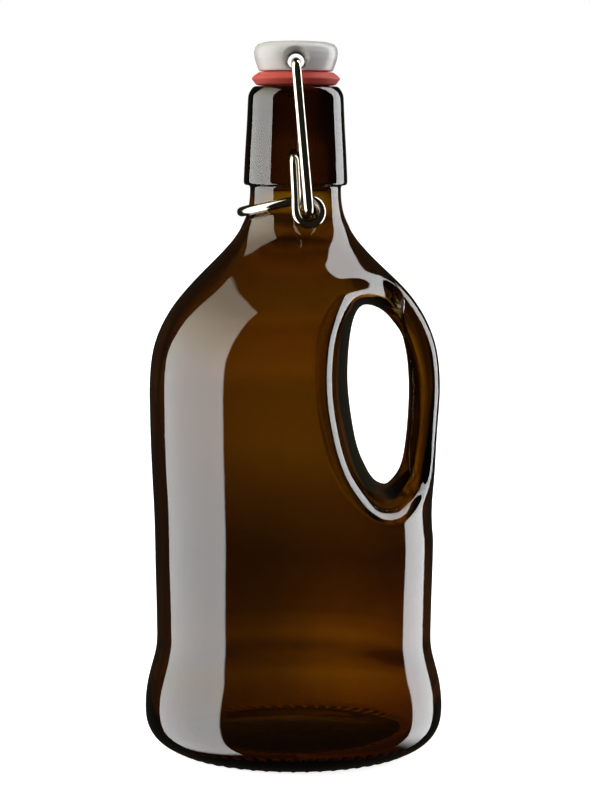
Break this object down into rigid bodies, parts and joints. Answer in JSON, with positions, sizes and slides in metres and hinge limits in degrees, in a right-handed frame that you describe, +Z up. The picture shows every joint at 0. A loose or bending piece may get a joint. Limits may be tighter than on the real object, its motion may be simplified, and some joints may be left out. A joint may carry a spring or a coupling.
{
  "type": "swing-top growler bottle",
  "caption": "Round glass growler with a handle formed in its wall, a finger opening, and a porcelain swing-top stopper on a wire bail and lever.",
  "frame": {"origin": "centre of the foot, on the plane of the contact ring", "axes": "+Z up along the bottle's axis, +X towards the handle, Y along the finger opening and the closure's pivots"},
  "size_m": [0.1062, 0.1062, 0.2514],
  "materials": {
    "amber_glass": "gloss",
    "porcelain": "gloss",
    "red_rubber": "satin",
    "steel_wire": "satin"
  },
  "bodies": {
    "bottle": {"glass_bottle": "amber_glass"},
    "lever": {"lever_wire": "steel_wire"},
    "bail": {"bail_wire": "steel_wire"},
    "stopper": {"porcelain_stopper": "porcelain", "rubber_gasket": "red_rubber"}
  },
  "joints": [
    {"name": "lever_pivot", "type": "hinge", "parent": "bottle", "child": "lever", "pos_m": [-0.0005, 0, 0.2111], "axis": [0, 1, 0], "range_deg": [0, 85]},
    {"name": "bail_hinge", "type": "hinge", "parent": "lever", "child": "bail", "pos_m": [0.0047, 0, 0.1922], "axis": [0, 1, 0], "range_deg": [-52.3, 0]},
    {"name": "stopper_swivel", "type": "hinge", "parent": "bail", "child": "stopper", "pos_m": [0, 0, 0.2435], "axis": [0, 1, 0], "range_deg": [-33.3, 0], "deforming": ["rubber_gasket"]}
  ],
  "couplings": [
    {"joint": "bail_hinge", "follows": "lever_pivot", "ratio": -0.61},
    {"joint": "stopper_swivel", "follows": "lever_pivot", "ratio": -0.39}
  ]
}
